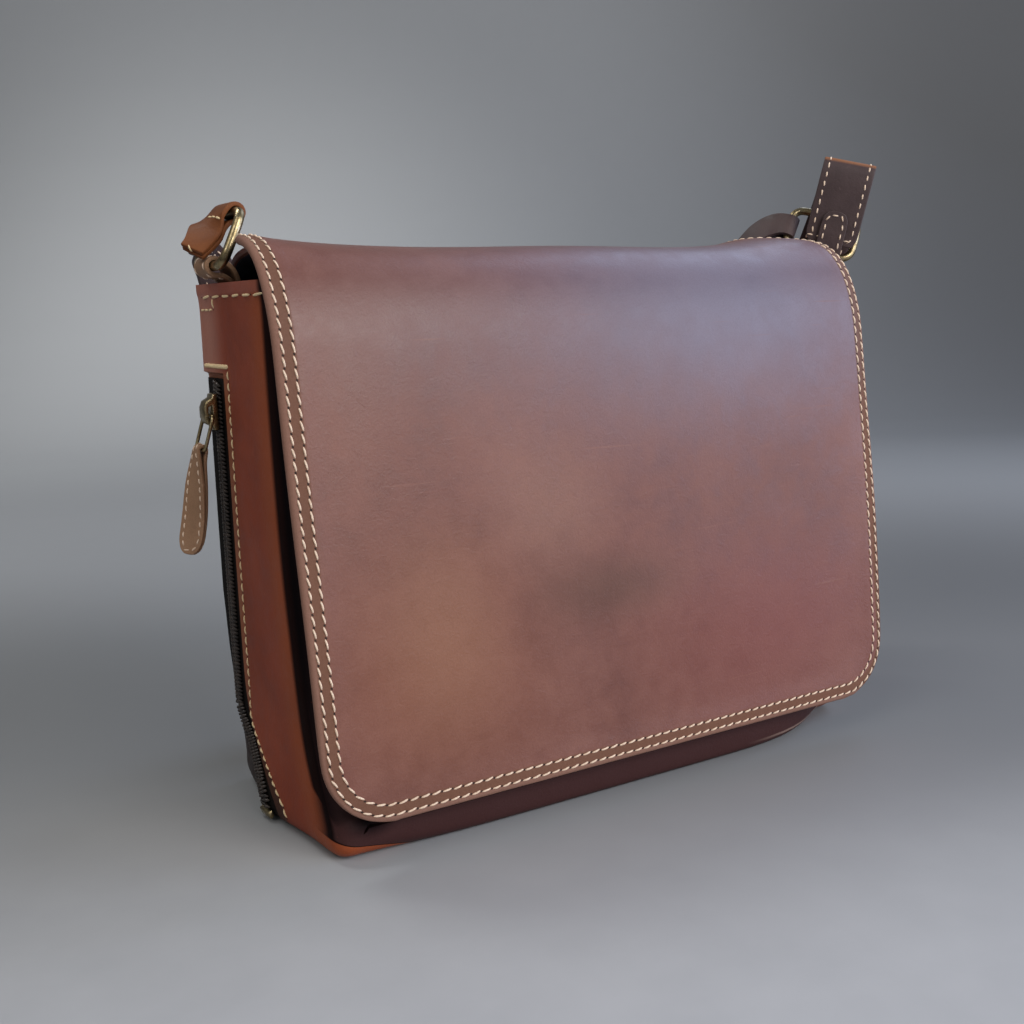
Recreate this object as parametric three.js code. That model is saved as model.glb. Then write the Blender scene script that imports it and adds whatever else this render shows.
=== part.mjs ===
import * as THREE from 'three';

// Leather organizer bag. Millimetres, +Z up, front is -Y, X runs across the width.
// The origin is the middle of the flat base.

// Body
const HALF_WIDTH = 141;
const HEM_Z = 215.5;
const HEM_DEPTH = 4.5;
const FRONT_BASE_Y = -62.5;
const FRONT_FLARE = 33.5;
const FRONT_FLARE_Z = 50;
const RIGHT_EASE = 18;
const RIGHT_EASE_X = [90, 127];
const RIGHT_EASE_Z = 60;
const REAR_Y = 58.5;
const REAR_TUCK = 14.5;
const REAR_TUCK_Z = 85;
const BASE_RADIUS = 14;
const BASE_SQUARENESS = 5;
const BASE_BAND_Z = BASE_RADIUS;
const SIDE_TAPER = 1;
const SIDE_TAPER_Z = 110;
const BELLY = 6.2;
const BELLY_Y = -1;
const BELLY_REACH = 22;
const FOOT_Z = [6, 38];
const FRONT_RADIUS = 9;
const FRONT_BASE_RADIUS = 4;
const LIP_END_X = 95;
const FRONT_FLANGE = 13;
const REAR_RADIUS = 5.5;
const REAR_FLANGE = 11;
const LEATHER = 2.4;
const HEM_EXTRA = 1;
const GAP = 0.3;

// Panels
const PANEL_TOP_Z = 203;
const PANEL_THICKNESS = 2;
const FRONT_BULGE = 21;
const BACK_BULGE = 5;
const FRONT_SEAM = 5;
const BACK_SEAM = 9;

// Flap
const FLAP_HALF_WIDTH = 147;
const FLAP_NARROWING = 1;
const FLAP_RIGHT_SQUEEZE = 3;
const FLAP_THICKNESS = 3;
const FLAP_HEM_EXTRA = 1.1;
const FLAP_HEM_WIDTH = 10;
const FLAP_RADIUS = 27;
const FLAP_EDGE_CURL = 3;
const FLAP_TOP_HALF_WIDTH = 131.5;
const FLAP_REAR_HALF_WIDTH = 126;

// Zip
const ZIP_TOP_Z = 178.5;
const ZIP_FRONT_Y = 28;
const ZIP_SWEEP = 41;
const ZIP_RECESS = 2.2;
const ZIP_BOTTOM_END = 10;
const TAPE_THICKNESS = 1;
const TEETH_WIDTH = 7;
const TEETH_HEIGHT = 1.6;
const TEETH_Y = 37;
const TAPE_REACH = 13.8;
const STOP_TURN = 34;

// Rings, tabs and strap
const WIRE_RADIUS = 2;
const RING_LONG = 34;
const RING_SHORT = 23;
const RING_CORNER = 6;
const TAB_THICKNESS = 2;
const STRAP_THICKNESS = 2.8;
const PULL_THICKNESS = 1.5;

// Colours
const BROWN = 0x6b4238;
const TAN = 0x8a4f2c;
const DARK = 0x17161a;
const BRASS = 0x8d7a4e;

const clamp = (value, low, high) => Math.min(high, Math.max(low, value));
const mix = (a, b, t) => a + (b - a) * t;

function smooth(low, high, value) {
  const t = clamp((value - low) / (high - low), 0, 1);
  return t * t * (3 - 2 * t);
}

function steps(low, high, count) {
  return Array.from({ length: count + 1 }, (_, i) => mix(low, high, i / count));
}

const group = new THREE.Group();
group.name = 'leather_organizer_bag';

// Adds a closed body from points and triangles, turned so that its faces look out.
function addBody(name, points, triangles, colour, metalness = 0) {
  let volume = 0;
  for (const [a, b, c] of triangles) {
    volume += points[a].dot(points[b].clone().cross(points[c]));
  }
  const index = triangles.flatMap(([a, b, c]) => (volume > 0 ? [a, b, c] : [a, c, b]));
  const geometry = new THREE.BufferGeometry();
  const position = new Float32Array(points.flatMap((p) => [p.x, p.y, p.z]));
  geometry.setAttribute('position', new THREE.BufferAttribute(position, 3));
  geometry.setIndex(index);
  geometry.computeVertexNormals();
  const material = new THREE.MeshStandardMaterial({ color: colour, metalness, roughness: 0.55 });
  const mesh = new THREE.Mesh(geometry, material);
  mesh.name = name;
  group.add(mesh);
}

// A sheet of leather: two grids of points, one for each face, joined round the rim.
function addSheet(name, outer, inner, colour) {
  const rows = outer.length;
  const columns = outer[0].length;
  const points = [...outer.flat(), ...inner.flat()];
  const back = rows * columns;
  const at = (i, j) => i * columns + j;
  const triangles = [];
  const quad = (a, b, c, d) => triangles.push([a, b, c], [a, c, d]);
  for (let i = 0; i + 1 < rows; i += 1) {
    for (let j = 0; j + 1 < columns; j += 1) {
      quad(at(i, j), at(i + 1, j), at(i + 1, j + 1), at(i, j + 1));
      quad(back + at(i, j), back + at(i, j + 1), back + at(i + 1, j + 1), back + at(i + 1, j));
    }
  }
  for (let i = 0; i + 1 < rows; i += 1) {
    const end = columns - 1;
    quad(at(i, 0), back + at(i, 0), back + at(i + 1, 0), at(i + 1, 0));
    quad(at(i, end), at(i + 1, end), back + at(i + 1, end), back + at(i, end));
  }
  for (let j = 0; j + 1 < columns; j += 1) {
    const end = rows - 1;
    quad(at(0, j), at(0, j + 1), back + at(0, j + 1), back + at(0, j));
    quad(at(end, j), back + at(end, j), back + at(end, j + 1), at(end, j + 1));
  }
  addBody(name, points, triangles, colour);
}

// A strip of leather along a path: stations give the middle, the width direction and the width.
function addStrip(name, stations, thickness, colour) {
  const middles = stations.map((s) => s.at);
  const outer = [];
  const inner = [];
  stations.forEach((station, i) => {
    const before = middles[Math.max(i - 1, 0)];
    const after = middles[Math.min(i + 1, middles.length - 1)];
    const along = after.clone().sub(before).normalize();
    const across = station.across.clone().addScaledVector(along, -station.across.dot(along)).normalize();
    const face = along.clone().cross(across).normalize();
    const row = (side) => [-0.5, 0, 0.5].map((part) => station.at.clone()
      .addScaledVector(across, part * station.width)
      .addScaledVector(face, side * thickness / 2));
    outer.push(row(1));
    inner.push(row(-1));
  });
  addSheet(name, outer, inner, colour);
}

// Smooth stations through a short table of [x, y, z, across x, across y, across z, width, spread].
function stationsFrom(table, count) {
  const curve = new THREE.CatmullRomCurve3(table.map((r) => new THREE.Vector3(r[0], r[1], r[2])), false, 'centripetal');
  const last = table.length - 1;
  return steps(0, 1, count).map((t) => {
    const k = Math.min(Math.floor(t * last), last - 1);
    const part = t * last - k;
    const value = (column) => mix(table[k][column], table[k + 1][column], smooth(0, 1, part));
    return {
      at: curve.getPoint(t),
      across: new THREE.Vector3(value(3), value(4), value(5)).normalize(),
      width: value(6),
      spread: value(7),
    };
  });
}

// A strip folded round a bar: the table starts at the bar, and spread is half the way between the two layers.
function addFolded(name, table, count, thickness, colour) {
  const stations = stationsFrom(table, count);
  const layer = (side) => stations.map((station, i) => {
    const before = stations[Math.max(i - 1, 0)].at;
    const after = stations[Math.min(i + 1, count)].at;
    const along = after.clone().sub(before).normalize();
    const across = station.across.clone().addScaledVector(along, -station.across.dot(along)).normalize();
    const face = along.clone().cross(across).normalize();
    return { ...station, along, across, face, at: station.at.clone().addScaledVector(face, side * station.spread) };
  });
  const start = stations[0];
  const front = layer(1);
  const { along, face, across } = front[0];
  const fold = [30, 60, 90, 120, 150].map((degrees) => {
    const angle = THREE.MathUtils.degToRad(degrees);
    const at = start.at.clone()
      .addScaledVector(face, start.spread * Math.cos(angle))
      .addScaledVector(along, -start.spread * Math.sin(angle));
    return { at, across, width: start.width };
  });
  addStrip(name, [...front.reverse(), ...fold, ...layer(-1)], thickness, colour);
}

// A wire ring: a rounded rectangle in the plane of two unit vectors.
function addRing(name, centre, long, short, size) {
  const face = long.clone().cross(short).normalize();
  const halfLong = size.long / 2 - size.corner;
  const halfShort = size.short / 2 - size.corner;
  const path = [];
  const corners = [[1, 1, 0], [-1, 1, 90], [-1, -1, 180], [1, -1, 270]];
  for (const [sideLong, sideShort, start] of corners) {
    for (const turn of [0, 22.5, 45, 67.5, 90]) {
      const angle = THREE.MathUtils.degToRad(start + turn);
      const out = long.clone().multiplyScalar(Math.cos(angle)).addScaledVector(short, Math.sin(angle));
      const at = centre.clone()
        .addScaledVector(long, sideLong * halfLong)
        .addScaledVector(short, sideShort * halfShort)
        .addScaledVector(out, size.corner);
      path.push({ at, out });
    }
  }
  const sides = 8;
  const points = path.flatMap(({ at, out }) => Array.from({ length: sides }, (_, k) => {
    const angle = (2 * Math.PI * k) / sides;
    return at.clone()
      .addScaledVector(out, size.wire * Math.cos(angle))
      .addScaledVector(face, size.wire * Math.sin(angle));
  }));
  const triangles = [];
  for (let i = 0; i < path.length; i += 1) {
    const next = (i + 1) % path.length;
    for (let k = 0; k < sides; k += 1) {
      const a = i * sides + k;
      const b = next * sides + k;
      const c = next * sides + ((k + 1) % sides);
      const d = i * sides + ((k + 1) % sides);
      triangles.push([a, b, c], [a, c, d]);
    }
  }
  addBody(name, points, triangles, BRASS, 1);
}

// Side view of the body: the front runs out toward the base, the rear tucks in there.
const aboveBand = (z) => Math.max(0, z - BASE_BAND_Z);
const tuck = (z) => -REAR_TUCK * Math.max(0, 1 - aboveBand(z) / (REAR_TUCK_Z - BASE_BAND_Z)) ** 1.3;
const rearY = (z) => REAR_Y + tuck(z);
const foot = (z) => 1 - smooth(FOOT_Z[0], FOOT_Z[1], z);
const sweep = (z) => -ZIP_SWEEP * foot(z);
const tapeRear = (z) => Math.min(TEETH_Y + TAPE_REACH + sweep(z), rearY(z) - REAR_RADIUS - 1.5);
const taper = (z) => SIDE_TAPER * Math.max(0, 1 - z / SIDE_TAPER_Z) ** 1.5;

// The front edge of the body; its lower right corner is pressed back.
function frontY(x, z) {
  const flare = FRONT_FLARE * (1 - Math.exp(-aboveBand(z) / FRONT_FLARE_Z));
  const [from, to] = RIGHT_EASE_X;
  const ease = RIGHT_EASE * clamp((x - from) / (to - from), 0, 1) * Math.exp(-aboveBand(z) / RIGHT_EASE_Z);
  return FRONT_BASE_Y + flare + ease;
}

// Heights at which the side walls and the panels bend alike.
const LEVELS = [25, 40, 60, 85, 115, 150];

// A station on the bottom corner of the left side, by its turn in degrees; the corner is squarer than a circle.
function cornerStation(degrees) {
  const angle = THREE.MathUtils.degToRad(degrees);
  const nx = Math.cos(angle);
  const nz = Math.sin(angle);
  const reach = BASE_RADIUS / (nx ** BASE_SQUARENESS + nz ** BASE_SQUARENESS) ** (1 / BASE_SQUARENESS);
  const z = BASE_RADIUS - reach * nz;
  return { x: -HALF_WIDTH + taper(z) * nx + BASE_RADIUS - reach * nx, z, nx, nz };
}

// The radius of the gusset's front edge: a thick lip up the sides that thins out along the base.
function lipRadius(station) {
  const along = smooth(HALF_WIDTH - BASE_RADIUS, LIP_END_X, Math.abs(station.x));
  return mix(FRONT_RADIUS, FRONT_BASE_RADIUS, along);
}

// The gusset's outer face, seen from the front: down the left side, along the base, up the right.
function gussetPath() {
  const hemZ = [HEM_Z, HEM_Z - HEM_DEPTH, HEM_Z - HEM_DEPTH - 1, 195];
  const zipZ = [ZIP_TOP_Z + 1, ZIP_TOP_Z, ZIP_TOP_Z - 1.5];
  const sideZ = [...hemZ, ...zipZ, ...[...LEVELS].reverse()];
  const left = sideZ.map((z) => ({ x: -HALF_WIDTH + taper(z), z, nx: 1, nz: 0 }));
  const corner = steps(0, 90, 6).map(cornerStation);
  const zipEnd = -HALF_WIDTH + BASE_RADIUS + ZIP_BOTTOM_END;
  const base = [zipEnd, zipEnd + 1, -RIGHT_EASE_X[0], -40].map((x) => ({ x, z: 0, nx: 0, nz: 1 }));
  const half = [...left, ...corner, ...base];
  const mirrored = half.map((s) => ({ ...s, x: -s.x, nx: -s.nx, right: true })).reverse();
  return [...half, ...mirrored];
}

const path = gussetPath();
const zipStations = path.filter((s) => !s.right
  && s.z <= ZIP_TOP_Z && s.x <= -HALF_WIDTH + BASE_RADIUS + ZIP_BOTTOM_END + 0.5);

// The foot of the left side bulges out over the base.
function belly(station, y) {
  const spread = Math.exp(-(((y - BELLY_Y) / BELLY_REACH) ** 2));
  return BELLY * foot(station.z) * smooth(0, 0.5, station.nx) * spread;
}

// A point at distance v inside the outer face of the gusset.
function inside(station, y, v) {
  return new THREE.Vector3(station.x + station.nx * v - belly(station, y), y, station.z + station.nz * v);
}

// Gusset: a channel whose front and rear edges turn round to the panels.
function buildGusset() {
  const outer = [];
  const inner = [];
  for (const station of path) {
    const zipped = zipStations.includes(station);
    const hemmed = station.z > HEM_Z - HEM_DEPTH - 0.5;
    const swell = hemmed ? HEM_EXTRA : 0;
    const recess = zipped ? ZIP_RECESS : 0;
    const front = frontY(station.x, station.z);
    const rear = rearY(station.z);
    const shift = sweep(station.z);
    const bend = [0, 30, 60, 90].map((d) => THREE.MathUtils.degToRad(d));
    const r = REAR_RADIUS;
    const ri = r - LEATHER;
    const lip = lipRadius(station);
    const outline = [[front, FRONT_FLANGE]];
    const lining = [[front + LEATHER, FRONT_FLANGE]];
    for (const a of bend) {
      const thin = lip - LEATHER;
      outline.push([front + lip - lip * Math.cos(a), lip - (lip + swell) * Math.sin(a)]);
      lining.push([front + lip - thin * Math.cos(a), lip - (thin - swell) * Math.sin(a)]);
    }
    const border = ZIP_FRONT_Y - 3 + shift;
    for (const y of [(front + lip + border) / 2, border, ZIP_FRONT_Y + shift]) {
      outline.push([y, -swell]);
      lining.push([y, LEATHER + swell]);
    }
    for (const y of [ZIP_FRONT_Y + 0.6 + shift, TEETH_Y + shift, tapeRear(station.z)]) {
      outline.push([y, recess - swell]);
      lining.push([y, LEATHER + recess + swell]);
    }
    for (const a of [...bend].reverse()) {
      const drop = recess * smooth(0.2, 1, Math.sin(a));
      outline.push([rear - r + r * Math.cos(a), r - r * Math.sin(a) + drop - swell * Math.sin(a)]);
      lining.push([rear - r + ri * Math.cos(a), r - ri * Math.sin(a) + drop + swell * Math.sin(a)]);
    }
    outline.push([rear, REAR_FLANGE + recess]);
    lining.push([rear - LEATHER, REAR_FLANGE + recess]);
    outer.push(outline.map(([y, v]) => inside(station, y, v)));
    inner.push(lining.map(([y, v]) => inside(station, y, v)));
  }
  addSheet('gusset', outer, inner, TAN);
}

// Half width of a panel that lies inside the gusset, at height z.
function panelHalfWidth(z, inset) {
  const side = HALF_WIDTH - taper(z) - inset;
  const r = BASE_RADIUS - inset;
  const below = clamp(r - (z - inset), 0, r);
  return side - r + Math.sqrt(Math.max(r * r - below * below, 0));
}

const FRONT_SHAPE = { inset: FRONT_RADIUS + 1, seam: FRONT_SEAM, bulge: FRONT_BULGE, topBulge: 8 };
const BACK_SHAPE = { inset: REAR_RADIUS + 1, seam: BACK_SEAM, bulge: BACK_BULGE, topBulge: 0.4 };

// Front or back panel: a sheet sewn inside the turned edges that bulges out between them.
function buildPanel(name, seamY, outward, shape) {
  const { inset, seam, bulge, topBulge } = shape;
  const r = BASE_RADIUS - inset;
  const low = steps(0, 90, 5).map((d) => inset + r * (1 - Math.cos(THREE.MathUtils.degToRad(d))));
  const heights = [...low, ...LEVELS, ZIP_TOP_Z, PANEL_TOP_Z];
  const outer = [];
  const inner = [];
  for (const z of heights) {
    const half = panelHalfWidth(z, inset);
    const shares = [-1, -0.97, -0.92, -0.82, -0.65, -0.4, -0.14, 0.14, 0.4, 0.65, 0.82, 0.92, 0.97, 1];
    const rowOut = [];
    const rowIn = [];
    for (const share of shares) {
      const x = share * half;
      const fromEdge = Math.min(half - Math.abs(x), z - inset);
      const height = mix(bulge, topBulge, smooth(90, 165, z));
      const y = seamY(x, z) + outward * height * smooth(seam, 48, fromEdge);
      rowOut.push(new THREE.Vector3(x, y, z));
      rowIn.push(new THREE.Vector3(x, y - outward * PANEL_THICKNESS, z));
    }
    outer.push(rowOut);
    inner.push(rowIn);
  }
  addSheet(name, outer, inner, BROWN);
}

// Flap in side view, its outer face from the front edge up, over the mouth and down the back: [y, z].
const FLAP_SIDE = [
  [-70, 16.5], [-68.6, 28], [-64.4, 65], [-58.6, 115], [-53.1, 163], [-49.6, 193], [-45.6, 207.5],
  [-38.8, 219], [-29, 226.3], [-16, 229.3], [0, 230], [18, 229], [36, 226], [48.6, 220.8], [56.8, 212],
  [60.4, 201.5], [60.9, 188], [60.7, 168],
];

// Broad swells and dents of the flap: [x, way along from the front edge, reach in x, reach along, height].
const FLAP_SWELLS = [
  [0, 105, 110, 75, 3.2],
  [-45, 70, 38, 26, -1.4],
  [58, 150, 45, 30, 1.2],
  [20, 60, 50, 22, 0.8],
  [-70, 165, 40, 25, -0.9],
  [95, 95, 34, 40, -0.8],
];

// Rise of the flap's top along its width: [x, reach, height].
const FLAP_TOP_RISE = [
  [-147, 24, 2.4],
  [-60, 60, -2.2],
  [60, 50, -2.2],
  [124, 17, 3.4],
];

function buildFlap() {
  const side = new THREE.CatmullRomCurve3(FLAP_SIDE.map(([y, z]) => new THREE.Vector3(0, y, z)), false, 'centripetal');
  side.arcLengthDivisions = 600;
  const length = side.getLength();
  const low = steps(0, 90, 6).map((d) => FLAP_RADIUS * (1 - Math.cos(THREE.MathUtils.degToRad(d))));
  const ways = [...low, ...steps(45, 175, 7), ...steps(184, 330, 15), ...steps(345, length, 3)];
  const outer = [];
  const inner = [];
  for (const way of ways) {
    const at = side.getPointAt(way / length);
    const along = side.getTangentAt(way / length);
    const out = new THREE.Vector3(0, -along.z, along.y);
    const below = clamp(FLAP_RADIUS - way, 0, FLAP_RADIUS);
    const front = mix(FLAP_HALF_WIDTH - FLAP_NARROWING, FLAP_HALF_WIDTH, smooth(0, 120, way));
    const top = mix(front, FLAP_TOP_HALF_WIDTH, smooth(236, 262, way));
    const full = mix(top, FLAP_REAR_HALF_WIDTH, smooth(286, 304, way));
    const half = full - FLAP_RADIUS + Math.sqrt(Math.max(FLAP_RADIUS ** 2 - below ** 2, 0));
    const rims = [0, 1.2, 4, FLAP_HEM_WIDTH, FLAP_HEM_WIDTH + 2.5];
    const inward = half - FLAP_HEM_WIDTH - 2.5;
    const columns = [
      ...rims.map((d) => -half + d),
      ...[-0.86, -0.66, -0.44, -0.22, 0, 0.22, 0.44, 0.66, 0.86].map((share) => share * inward),
      ...rims.map((d) => half - d).reverse(),
    ];
    const rowOut = [];
    const rowIn = [];
    for (const x of columns) {
      const corner = FLAP_RADIUS - Math.hypot(Math.max(Math.abs(x) - full + FLAP_RADIUS, 0), below);
      const fromEdge = Math.max(0, Math.min(half - Math.abs(x), way, below > 0 ? corner : way));
      const rolled = smooth(-1.5, 2.4, fromEdge) * FLAP_HEM_EXTRA * (1 - smooth(FLAP_HEM_WIDTH, FLAP_HEM_WIDTH + 2.5, fromEdge));
      let height = -FLAP_EDGE_CURL * (Math.abs(x) / FLAP_HALF_WIDTH) ** 8 * smooth(60, 160, way) * (1 - smooth(195, 230, way));
      for (const [sx, sw, rx, rw, rise] of FLAP_SWELLS) {
        height += rise * Math.exp(-(((x - sx) / rx) ** 2) - ((way - sw) / rw) ** 2);
      }
      let lift = 0;
      for (const [sx, rx, rise] of FLAP_TOP_RISE) {
        lift += rise * Math.exp(-(((x - sx) / rx) ** 2));
      }
      lift *= smooth(190, 235, way) * (1 - smooth(275, 320, way));
      const thin = 1 - 0.55 * (1 - smooth(0, 1.2, fromEdge));
      const thickness = (FLAP_THICKNESS + rolled) * thin;
      const middle = at.clone().addScaledVector(out, height - FLAP_THICKNESS / 2);
      middle.x = x - FLAP_RIGHT_SQUEEZE * Math.max(0, x / half) * (1 - smooth(0, 150, way));
      middle.z += lift;
      rowOut.push(middle.clone().addScaledVector(out, thickness / 2));
      rowIn.push(middle.clone().addScaledVector(out, -thickness / 2));
    }
    outer.push(rowOut);
    inner.push(rowIn);
  }
  addSheet('flap', outer, inner, BROWN);
}

// A band that follows the zip's stations between two heights inside the outer face.
function buildZipBand(name, stations, across, vOuter, vInner, colour) {
  const grid = (v) => stations.map((s) => across(s.z).map((y) => inside(s, y, v)));
  addSheet(name, grid(vOuter), grid(vInner), colour);
}

const TAPE_OUTER = ZIP_RECESS - GAP - TAPE_THICKNESS;
const TEETH_OUTER = TAPE_OUTER - GAP - TEETH_HEIGHT;

function buildZip() {
  const ends = zipStations.slice(1, -1);
  const teethRow = (z) => [-0.5, 0, 0.5].map((part) => TEETH_Y + sweep(z) + part * TEETH_WIDTH);
  const tapeRow = (z) => [ZIP_FRONT_Y + 1.2 + sweep(z), TEETH_Y + sweep(z), tapeRear(z)];
  buildZipBand('zipper_tape', ends, tapeRow, TAPE_OUTER, ZIP_RECESS - GAP, DARK);
  const teeth = ends.filter((s) => s.z > cornerStation(STOP_TURN).z + 0.8);
  buildZipBand('zipper_teeth', teeth, teethRow, TEETH_OUTER, TAPE_OUTER - GAP, DARK);
  const stop = [STOP_TURN, STOP_TURN + 9].map(cornerStation);
  const stopRow = (z) => teethRow(z).map((y, i) => y + i - 1);
  buildZipBand('zipper_stop', stop, stopRow, TEETH_OUTER - 0.4, TAPE_OUTER - GAP, BRASS);
}

// Slider in side view, outward from the teeth and down from its top: a plate with a bridge over it.
const SLIDER_Z = 171;
const SLIDER_WIDTH = 7;
const SLIDER_SIDE = [
  [0, 0], [0, 15], [2, 15], [2.3, 13.4], [4.8, 12], [5.8, 9.5], [5.8, 5.5], [4.8, 3], [2.3, 1.6], [2, 0],
];
const SLIDER_HOLE = [[2.2, 4.6], [3.9, 5.2], [4.1, 7.5], [3.9, 9.8], [2.2, 10.4]];
const LINK = { long: 12.4, short: 15, corner: 2.2, wire: 0.75 };

function buildSlider() {
  const turned = (table, clockwise) => {
    const loop = table.map(([p, q]) => new THREE.Vector2(p, q));
    return THREE.ShapeUtils.isClockWise(loop) === clockwise ? loop : loop.reverse();
  };
  const shape = turned(SLIDER_SIDE, false);
  const holes = [turned(SLIDER_HOLE, true)];
  const flat = [...shape, ...holes.flat()];
  const faces = THREE.ShapeUtils.triangulateShape(shape, holes).map(([a, b, c]) => (
    THREE.ShapeUtils.isClockWise([flat[a], flat[b], flat[c]]) ? [a, c, b] : [a, b, c]));
  const face = -HALF_WIDTH + TEETH_OUTER - GAP;
  const layer = (y) => flat.map((p) => new THREE.Vector3(face - p.x, y, SLIDER_Z - p.y));
  const points = [...layer(TEETH_Y - SLIDER_WIDTH / 2), ...layer(TEETH_Y + SLIDER_WIDTH / 2)];
  const count = flat.length;
  const triangles = faces.flatMap(([a, b, c]) => [[a, b, c], [count + a, count + c, count + b]]);
  let first = 0;
  for (const loop of [shape, ...holes]) {
    for (let k = 0; k < loop.length; k += 1) {
      const a = first + k;
      const b = first + ((k + 1) % loop.length);
      triangles.push([a, count + b, b], [a, count + a, count + b]);
    }
    first += loop.length;
  }
  addBody('zipper_slider', points, triangles, BRASS, 1);
  const bar = new THREE.Vector3(face - 3.05, TEETH_Y, SLIDER_Z - 8.6);
  const down = new THREE.Vector3(-0.3, 0, -0.954);
  const centre = bar.clone().addScaledVector(down, LINK.short / 2);
  addRing('zipper_link', centre, new THREE.Vector3(0, 1, 0), down, LINK);
  const hang = bar.clone().addScaledVector(down, LINK.short);
  const row = (dx, dy, dz, ax, ay, width, spread) => [hang.x + dx, hang.y + dy, hang.z + dz, ax, ay, 0, width, spread];
  const pull = [
    row(0, 0, 0, 0, 1, 6.5, LINK.wire + GAP + PULL_THICKNESS / 2),
    row(-1.2, 0, -5, -0.2, 0.98, 8.5, 1.1),
    row(-2.6, 0, -14, -0.5, 0.86, 10, 0.95),
    row(-4.2, 0, -27, -0.7, 0.71, 10.5, 0.95),
    row(-6.2, 0, -37, -0.75, 0.66, 10.5, 0.95),
    row(-7.2, 0, -41, -0.75, 0.66, 8, 0.95),
    row(-7.7, 0, -43, -0.75, 0.66, 4, 0.95),
  ];
  addFolded('zipper_pull', pull, 12, PULL_THICKNESS, BROWN);
}

// Left ring: it leans in over the hem, its lower bar in the tab.
const RING = { long: RING_LONG, short: RING_SHORT, corner: RING_CORNER, wire: WIRE_RADIUS };
const LEFT_RING = new THREE.Vector3(-138.5, 30, 232.5);
const LEFT_RISE = new THREE.Vector3(0.41, 0, 0.912).normalize();
const TAB_X = 135;

// Right ring: its lower bar holds the strap, its rear side bar is in the tab.
const RIGHT_BAR = new THREE.Vector3(172, 0.6, 224);
const STRAP_UP = new THREE.Vector3(0.135, -0.2, 0.97).normalize();
const STRAP_BACK = new THREE.Vector3(0.72, 0.69, 0.04).normalize();
const STRAP_ACROSS = STRAP_BACK.clone().cross(STRAP_UP).normalize();
const RIGHT_RISE = STRAP_UP.clone().multiplyScalar(0.86).addScaledVector(STRAP_BACK, 0.5).normalize();
const RIGHT_RING_SHIFT = -5;

// A point beside the right ring's lower bar: up the strap, back through it and across it.
const beside = (up, back, across = 0) => RIGHT_BAR.clone()
  .addScaledVector(STRAP_UP, up)
  .addScaledVector(STRAP_BACK, back)
  .addScaledVector(STRAP_ACROSS, across);

function buildRings() {
  addRing('ring_left', LEFT_RING, new THREE.Vector3(0, 1, 0), LEFT_RISE, RING);
  const centre = beside(0, 0, RIGHT_RING_SHIFT).addScaledVector(RIGHT_RISE, RING_SHORT / 2);
  addRing('ring_right', centre, STRAP_ACROSS, RIGHT_RISE, RING);
  const low = LEFT_RING.clone().addScaledVector(LEFT_RISE, -RING_SHORT / 2);
  const high = LEFT_RING.clone().addScaledVector(LEFT_RISE, RING_SHORT / 2);
  const round = WIRE_RADIUS + GAP + TAB_THICKNESS / 2;
  const tabLeft = [
    [low.x, 30, low.z, 0, 1, 0, 15, round],
    [low.x + 5, 30, low.z - 1.8, 0, 1, 0, 15, 2.4],
    [-TAB_X, 30, 216.2, 0, 1, 0, 15, 1.4],
    [-TAB_X, 30, 210, 0, 1, 0, 15, 1.3],
    [-TAB_X, 30, 203.5, 0, 1, 0, 15, 1.3],
    [-TAB_X, 30, 197, 0, 1, 0, 15, 1.3],
  ];
  addFolded('ring_tab_left', tabLeft, 15, TAB_THICKNESS, BROWN);
  const tongue = [
    [high.x, 29.5, high.z, 0, 1, 0, 19, round],
    [high.x - 5, 29.5, high.z - 3.4, 0, 1, 0, 19, 2],
    [high.x - 11, 28.4, high.z - 8.2, -0.2, 0.85, 0.45, 17, 1.3],
    [high.x - 18.2, 26.6, high.z - 14, -0.4, 0.7, 0.6, 14, 1.2],
  ];
  addFolded('ring_tongue_left', tongue, 10, TAB_THICKNESS, TAN);
  const rear = centre.clone().addScaledVector(STRAP_ACROSS, -RING_LONG / 2);
  const rise = RIGHT_RISE;
  const tabRight = [
    [rear.x, rear.y, rear.z, rise.x, rise.y, rise.z, 11, round],
    [rear.x - 3.9, rear.y + 4.7, rear.z + 1.2, rise.x, rise.y, rise.z, 12, 2],
    [rear.x - 10.2, rear.y + 11, rear.z - 2.5, 0.3, 0.75, 0.55, 15, 1.4],
    [rear.x - 16.2, 32.5, rear.z - 9.5, 0.15, 0.95, 0.2, 15, 1.6],
    [TAB_X + 2.2, 31.5, 221.5, 0, 1, 0, 15, 1.4],
    [TAB_X, 30.8, 216.5, 0, 1, 0, 15, 1.3],
    [TAB_X, 30.5, 211, 0, 1, 0, 15, 1.3],
    [TAB_X, 30, 203.5, 0, 1, 0, 15, 1.3],
    [TAB_X, 30, 197, 0, 1, 0, 15, 1.3],
  ];
  addFolded('ring_tab_right', tabRight, 24, TAB_THICKNESS, BROWN);
}

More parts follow.
